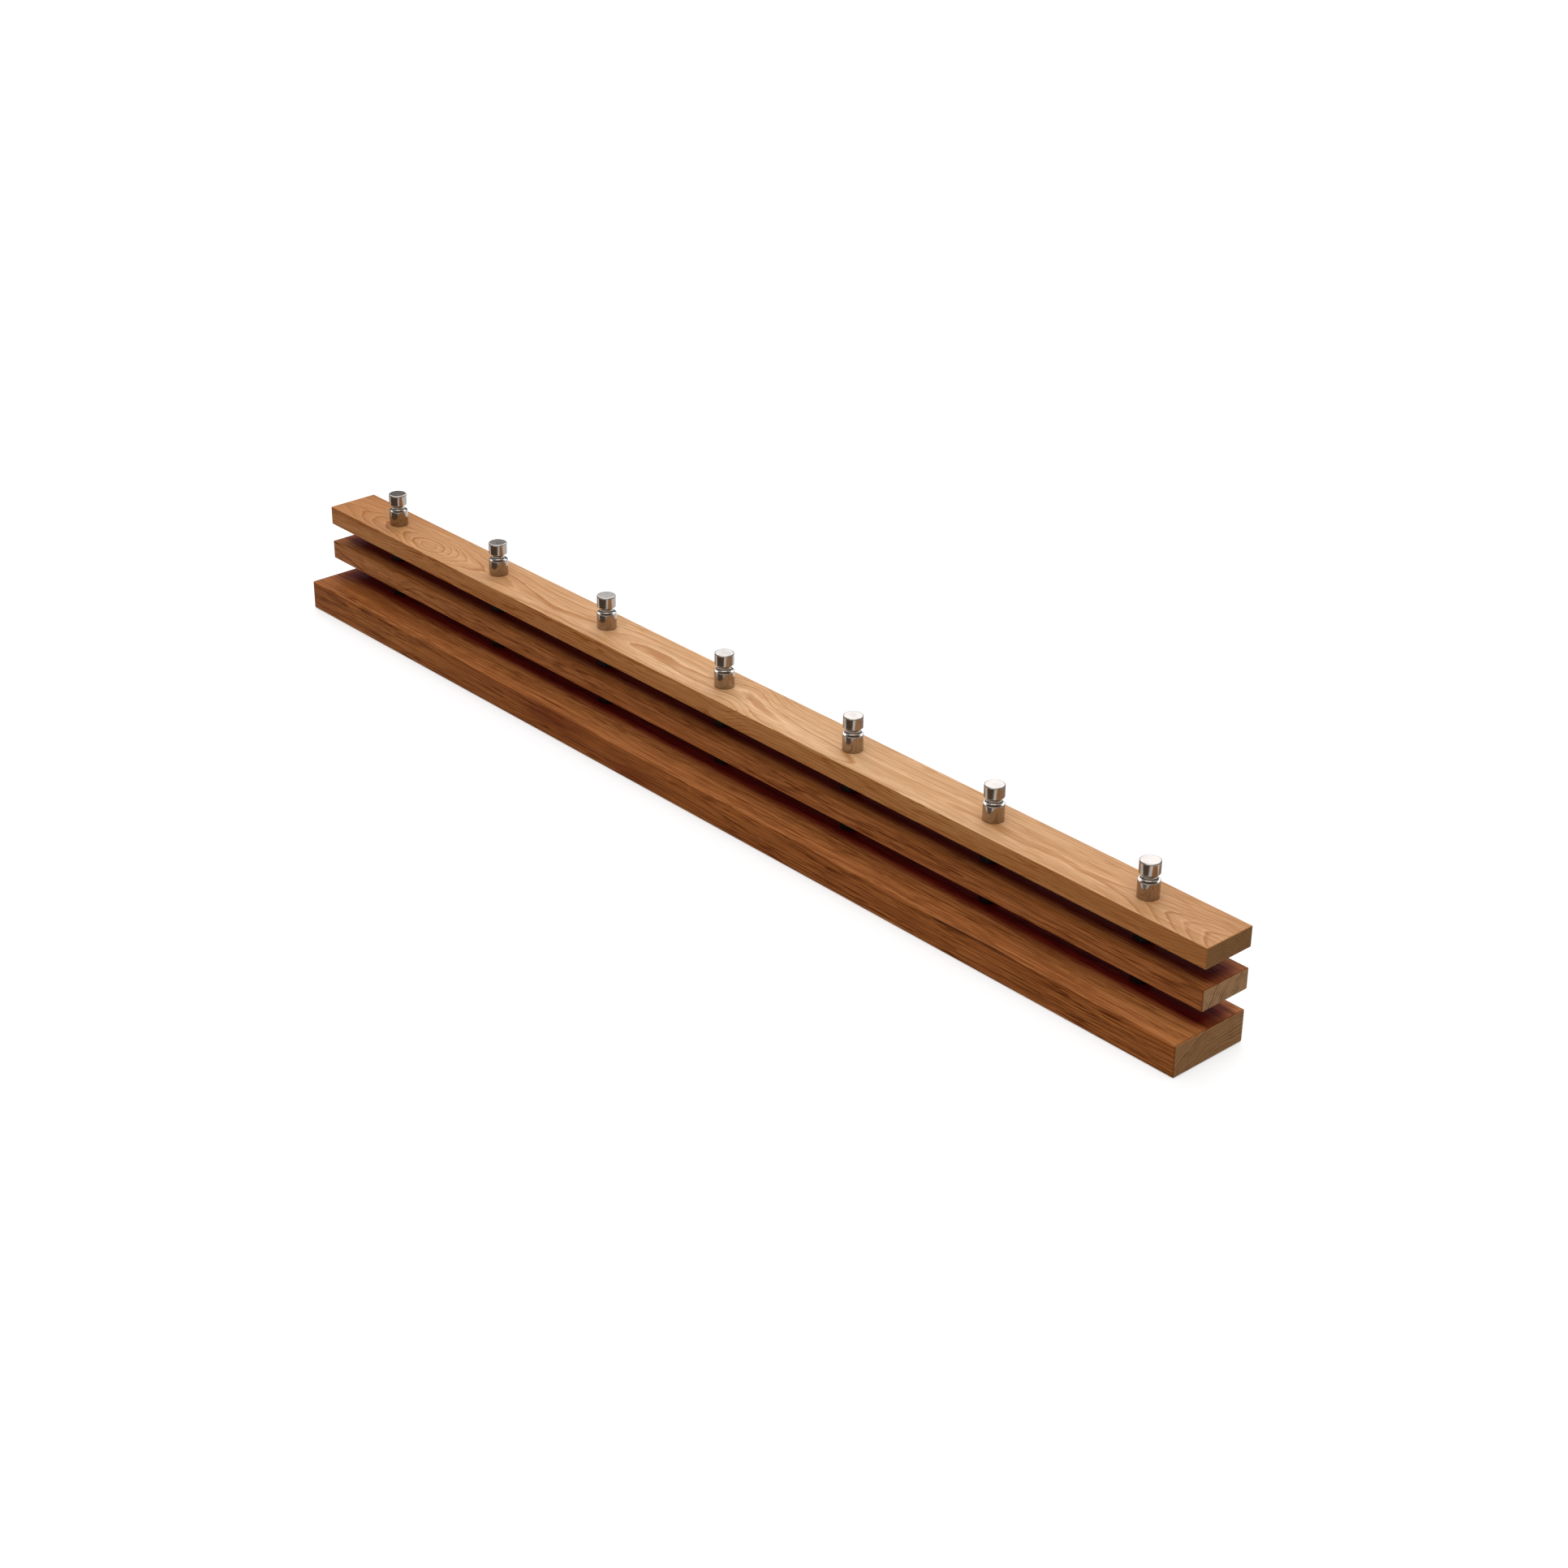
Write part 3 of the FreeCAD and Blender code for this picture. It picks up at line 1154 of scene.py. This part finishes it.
@dataclass
class Studio:
    """The floor, the lamps, the dark cards and the camera."""

    lamps: tuple[Lamp, ...]
    cards: tuple[DarkCard, ...]
    camera_place: Place = (1.46829, -1.25639, 1.01265)
    camera_aim: Place = (0.09560, -0.01229, 0.05)
    camera_roll: float = math.radians(0.5757)
    lens_mm: float = 64.616
    sensor_mm: float = 36.0
    camera_near: float = 0.05
    floor_half: float = 60.0
    floor_cells: int = 8
    floor_drop: float = 0.4 * MM
    floor_seen: float = 0.55
    floor_bounce: float = 0.27
    floor_lift: float = 0.55
    wall_foot: float = 0.1
    wall_top: float = 0.95
    sky_low: float = 0.04
    sky_high: float = 0.9

    def lay_floor(self) -> None:
        """Lay the pale floor, which the camera sees white and which keeps the rack's shadow."""
        mesh = bmesh.new()
        bmesh.ops.create_grid(
            mesh, x_segments=self.floor_cells, y_segments=self.floor_cells, size=self.floor_half,
        )
        bmesh.ops.translate(mesh, vec=(0, 0, -self.floor_drop), verts=mesh.verts[:])
        sheet = FinishSheet("studio_floor")
        seen = sheet.seen()
        pale = sheet.spread(seen, self.floor_bounce, self.floor_seen)
        sheet.feed(sheet.shader.inputs["Base Color"], sheet.grey(pale))
        sheet.matt()
        sheet.shader.inputs["Emission Color"].default_value = WHITE
        sheet.feed(sheet.shader.inputs["Emission Strength"], sheet.times(seen, self.floor_lift))
        floor = finished("studio_floor", mesh, sheet.material, NEVER_SHARP)

    def light_sky(self) -> None:
        """Light the room from a pale ceiling that darkens towards the walls."""
        world = bpy.data.worlds.new("studio_room")
        world.use_nodes = True
        sheet = NodeSheet(world.node_tree)
        coordinates = sheet.tree.nodes.new("ShaderNodeTexCoord")
        height = sheet.split(coordinates.outputs["Generated"])[2]
        rise = sheet.step(height, self.wall_foot, self.wall_top)
        glow = sheet.spread(rise, self.sky_low, self.sky_high)
        background = sheet.tree.nodes["Background"]
        background.inputs["Color"].default_value = WHITE
        sheet.feed(background.inputs["Strength"], glow)
        bpy.context.scene.world = world

    def place_camera(self) -> None:
        """Stand the camera where the picture was taken from."""
        data = bpy.data.cameras.new("studio_camera")
        data.sensor_width = self.sensor_mm
        data.lens = self.lens_mm
        data.clip_start = self.camera_near
        camera = bpy.data.objects.new("studio_camera", data)
        place = Vector(self.camera_place)
        ahead = Vector(self.camera_aim) - place
        turn = ahead.to_track_quat("-Z", "Y").to_matrix() @ Matrix.Rotation(self.camera_roll, 3, "Z")
        camera.matrix_world = Matrix.Translation(place) @ turn.to_4x4()
        bpy.context.scene.collection.objects.link(camera)
        bpy.context.scene.camera = camera

    def build(self) -> None:
        """Set up the whole studio."""
        self.lay_floor()
        for card in self.cards:
            card.lay()
        self.light_sky()
        for lamp in self.lamps:
            lamp.hang()
        self.place_camera()
        bpy.context.scene.view_settings.view_transform = "Standard"
        LOG.info("set up the studio")


WOODS: dict[Slat, WoodFinish] = {
    Slat.FRONT: WoodFinish(
        name="front_slat_wood", pith_y_mm=3.0, pith_z_mm=58.0, ring_mm=2.2,
        pale=(0.578, 0.308, 0.142), deep=(0.475, 0.222, 0.084), line=(0.37, 0.142, 0.04),
        painted_side_tint=(1.0, 0.74, 0.46), end_pale=(0.352, 0.167, 0.057), end_line=(0.20, 0.09, 0.028),
        half_length_mm=HALF_LENGTH_MM, seed=(3.1, 1.7, 5.2), drift_mm=4.0, wave_mm=2.6, ripple_mm=0.25,
        feather_mm=0.28, line_start=0.6, line_share=0.9, fresh_share=0.4, streak_share=0.35, streak_mm=2.2,
        streak_run_mm=60.0, gleam_share=0.3, dash_share=0.5, dash_mm=0.95, side_dash=2.2, fibre_swing=0.15,
        sheen=0.06,
        eyes=(
            Eye((-370.0, 1.4, 89.0), (26.0, 24.0, 60.0), -6.0),
            Eye((-375.0, 4.0, 89.0), (62.0, 30.0, 60.0), -7.0),
            Eye((-440.0, 10.0, 89.0), (40.0, 22.0, 60.0), -4.0),
            Eye((-190.0, 12.0, 89.0), (70.0, 24.0, 60.0), 6.0),
            Eye((-90.0, 0.0, 89.0), (110.0, 80.0, 80.0), 0.0, 6.0),
            Eye((22.0, 9.0, 89.0), (26.0, 60.0, 60.0), -1.0, 13.0),
            Eye((130.0, 0.0, 89.0), (90.0, 80.0, 80.0), 0.0, -5.0),
            Eye((560.0, 1.0, 89.0), (90.0, 34.0, 60.0), -18.0),
        ),
        patches=(
            # Painted sheen, partly the wood's own tone: the paler middle and darker left end of the top stand
            # in for the rear lamp's sheen; the right end is slightly darker
            Patch((100.0, 12.0, 89.0), (300.0, 200.0, 12.0), (1.17, 1.32, 1.52)),
            Patch((-500.0, 12.0, 89.0), (110.0, 200.0, 5.0), (0.78, 0.64, 0.46)),
            Patch((500.0, 12.0, 89.0), (70.0, 200.0, 12.0), (0.93, 0.9, 0.88)),
            Patch((-450.0, -10.5, 80.0), (150.0, 2.5, 9.0), (1.15, 1.25, 1.4)),
            Patch((350.0, -10.5, 80.0), (300.0, 2.5, 9.0), (1.05, 1.12, 1.26)),
        ),
    ),
    Slat.MIDDLE: WoodFinish(
        name="middle_slat_wood", pith_y_mm=110.0, pith_z_mm=-10.0, ring_mm=2.4,
        pale=(0.445, 0.167, 0.052), deep=(0.335, 0.113, 0.031), line=(0.155, 0.04, 0.008),
        painted_side_tint=(1.2, 1.15, 1.12), end_pale=(0.65, 0.362, 0.178), end_line=(0.16, 0.07, 0.024),
        half_length_mm=HALF_LENGTH_MM, seed=(11.4, 8.3, 2.9), end_share=1.0,
        eyes=(Eye((-425.0, -10.5, 46.0), (36.0, 8.0, 8.0), 7.0),),
        patches=(
            Patch((-450.0, -10.5, 49.0), (160.0, 2.5, 30.0), (1.1, 1.2, 1.3)),
            # Painted shade along the top front edge, at the mouth of the gap
            Patch((0.0, -8.5, 57.0), (5000.0, 4.0, 1.5), (0.76, 0.7, 0.6)),
        ),
        # Painted shade: deep red tint on the upper face under the front board
        gap_shade=GapShade(-6.0, 5.0, 17.0, 38.0, (0.42, 0.08, 0.12)),
    ),
    Slat.BACK: WoodFinish(
        name="back_slat_wood", pith_y_mm=25.0, pith_z_mm=-62.0, ring_mm=2.8,
        pale=(0.525, 0.204, 0.066), deep=(0.354, 0.117, 0.034), line=(0.145, 0.036, 0.006),
        painted_side_tint=(0.98, 0.8, 0.56), end_pale=(0.5, 0.252, 0.102), end_line=(0.19, 0.085, 0.03),
        half_length_mm=HALF_LENGTH_MM, seed=(21.8, 4.4, 9.6), end_share=1.0,
        patches=(
            Patch((-160.0, -34.5, 17.0), (42.0, 6.0, 10.0), (0.66, 0.5, 0.42)),
            Patch((-55.0, -34.5, 6.0), (30.0, 6.0, 6.0), (0.72, 0.58, 0.5)),
            Patch((-12.0, -34.5, 19.0), (3.0, 3.0, 4.0), (1.3, 1.28, 1.28)),
            Patch((12.0, -34.5, 21.0), (2.5, 3.0, 3.0), (1.25, 1.22, 1.22)),
            # Painted shade that dims the ledge's left end, against the sheen there
            Patch((-470.0, -20.0, 25.0), (90.0, 30.0, 5.0), (0.84, 0.76, 0.66)),
            Patch((-450.0, -34.5, 12.0), (150.0, 4.0, 14.0), (1.13, 1.27, 1.45)),
            Patch((340.0, -34.5, 10.0), (260.0, 4.0, 13.0), (1.14, 1.24, 1.45)),
            # Painted shade on the inner half of the ledge, under the boards above
            Patch((0.0, -12.0, 25.0), (5000.0, 9.0, 5.0), (0.78, 0.75, 0.68)),
            Patch((283.0, -34.5, 23.1), (8.0, 1.5, 0.8), (0.1, 0.06, 0.06)),
            Patch((304.0, -34.5, 23.7), (18.0, 1.3, 0.8), (0.1, 0.06, 0.06)),
            Patch((335.0, -34.3, 24.4), (26.0, 1.3, 0.8), (0.16, 0.1, 0.1)),
        ),
        # Painted shade: deep red tint on the upper face under the middle board
        gap_shade=GapShade(-12.0, 1.0, 17.0, 38.0, (0.48, 0.07, 0.12)),
    ),
}

POLISHED_STEEL = SteelFinish(
    name="polished_knob_steel", colour=(0.375, 0.33, 0.29), smooth=0.07, dull=0.14,
    pitch_mm=KNOB_PITCH_MM, axis_y_mm=KNOB_LINE_Y_MM, mark_strength=0.06,
)
BRIGHT_STEEL = SteelFinish(
    name="bright_fastener_steel", colour=(0.62, 0.62, 0.63), smooth=0.22, dull=0.4,
    pitch_mm=KNOB_PITCH_MM, axis_y_mm=KNOB_LINE_Y_MM, mark_strength=0.2,
)
ZINC = SteelFinish(
    name="zinc_plate", colour=(0.58, 0.585, 0.6), smooth=0.3, dull=0.5,
    pitch_mm=KNOB_PITCH_MM, axis_y_mm=KNOB_LINE_Y_MM, mark_strength=0.12,
)
BLACK_NYLON = NylonFinish(name="black_nylon", colour=(0.008, 0.008, 0.008), scuff=(0.02, 0.02, 0.02))

LAMPS: tuple[Lamp, ...] = (
    Lamp(
        name="rear_soft_box", place=(-1.692, 1.692, 2.277), aim=(0.046, -0.046, 0.737), width=4.0, height=2.1,
        radiance=2.3, colour=(0.95, 1.0, 1.09),
    ),
    Lamp(
        name="front_soft_box", place=(0.8, -1.0, 2.5), aim=(0.0, 0.0, 0.0), width=2.8, height=1.8,
        radiance=1.6,
    ),
)

CARDS: tuple[DarkCard, ...] = (
    DarkCard(
        name="dark_flag", low=(-1.1, -0.45, 0.002), high=(1.1, -0.16, 0.002), colour=(0.13, 0.085, 0.055),
    ),
    DarkCard(
        name="rear_flag", low=(0.1, 0.06, 0.002), high=(0.56, 0.4, 0.002), colour=(0.48, 0.34, 0.27),
    ),
)


def main() -> None:
    """Load the frame, build and dress every sub-assembly, and set up the studio."""
    logging.basicConfig(level=logging.INFO, format="%(name)s: %(message)s")
    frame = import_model()
    nodes = frame["nodes"]
    SlatStack(nodes, WOODS).dress()
    KnobRow(KNOB_COUNT, POLISHED_STEEL).build()
    SpacerSet(KNOB_COUNT, BLACK_NYLON).build()
    HiddenHardware(nodes, BRIGHT_STEEL, ZINC).dress()
    Studio(LAMPS, CARDS).build()


if __name__ == "__main__":
    main()
